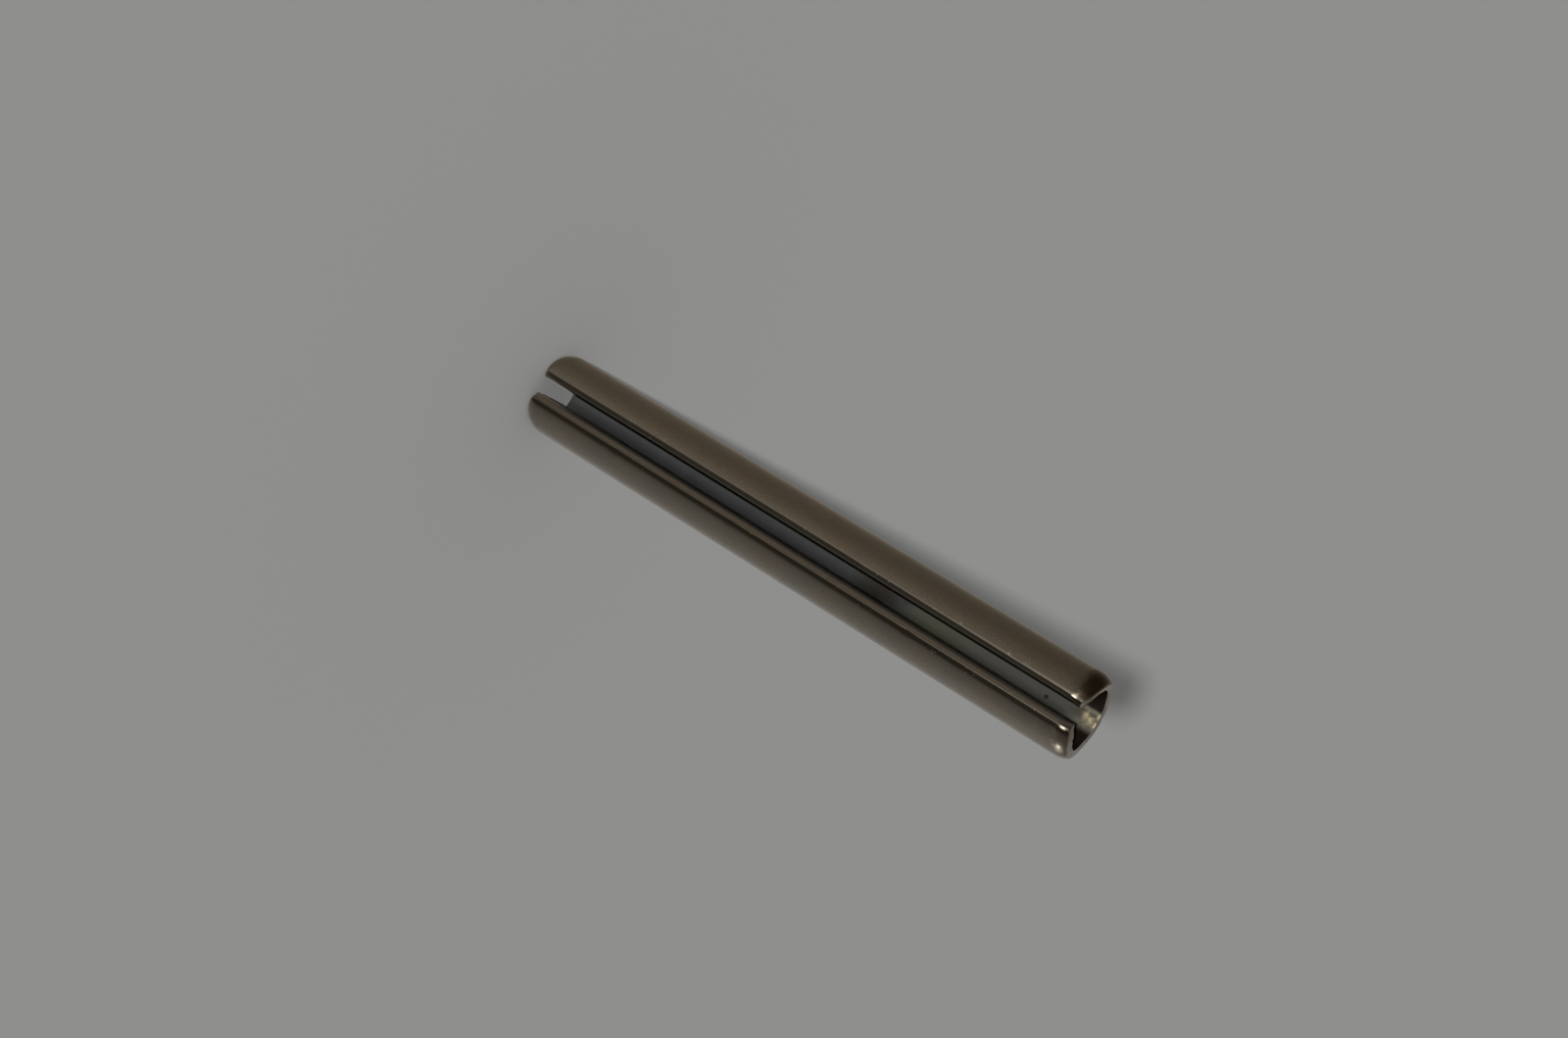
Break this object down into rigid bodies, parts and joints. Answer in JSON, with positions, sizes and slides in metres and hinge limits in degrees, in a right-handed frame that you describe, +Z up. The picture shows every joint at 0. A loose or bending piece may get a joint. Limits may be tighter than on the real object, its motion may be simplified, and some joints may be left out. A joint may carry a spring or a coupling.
{
  "type": "roll pin",
  "caption": "Slotted spring pin: one strip of spring steel rolled into an open tube with rounded lips and domed ends, pressed into a hole to hold two parts together.",
  "frame": {"origin": "on the pin's axis, half way between its end faces", "axes": "+Z up along the pin, which stands on one end; -Y out of the middle of the slot"},
  "size_m": [0.0064, 0.0063, 0.05],
  "materials": {
    "spring_steel": "satin, burnished bright along the rolled lips and at the noses"
  },
  "bodies": {
    "root": {"roll_pin": "spring_steel"}
  },
  "joints": []
}
